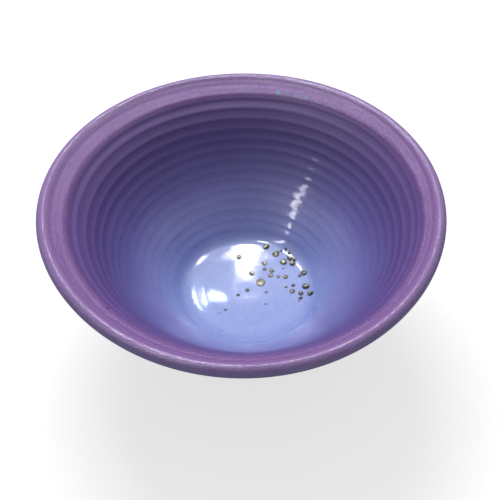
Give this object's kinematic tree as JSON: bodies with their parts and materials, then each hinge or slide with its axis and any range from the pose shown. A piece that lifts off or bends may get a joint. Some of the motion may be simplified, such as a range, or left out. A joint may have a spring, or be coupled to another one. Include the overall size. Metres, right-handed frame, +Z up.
{
  "type": "mixing bowl",
  "caption": "Round thrown stoneware mixing bowl with a rolled lip, sloping rim band, grooved glazed inside, metallic flecks on its floor and a trimmed foot ring.",
  "frame": {"origin": "centre of the foot ring's resting plane, on the bowl's axis", "axes": "+Z up along the bowl's axis, through its mouth; +X and +Y lie in the resting plane and may point any way, because the bowl is round"},
  "size_m": [0.16, 0.16, 0.065],
  "materials": {
    "clay": "bare stoneware, matte and slightly gritty",
    "liner_glaze": "glossy on the floor, satin higher up, indigo to periwinkle blue",
    "rim_glaze": "satin matte violet with a fine sparkling grain",
    "outer_glaze": "satin slate violet",
    "metal_flecks": "dull grey-gold metal with bright facets"
  },
  "bodies": {
    "root": {"clay_body": "clay", "liner_glaze": "liner_glaze", "rim_glaze": "rim_glaze", "outer_glaze": "outer_glaze", "foot_well_glaze": "outer_glaze", "metal_flecks": "metal_flecks"}
  },
  "joints": []
}
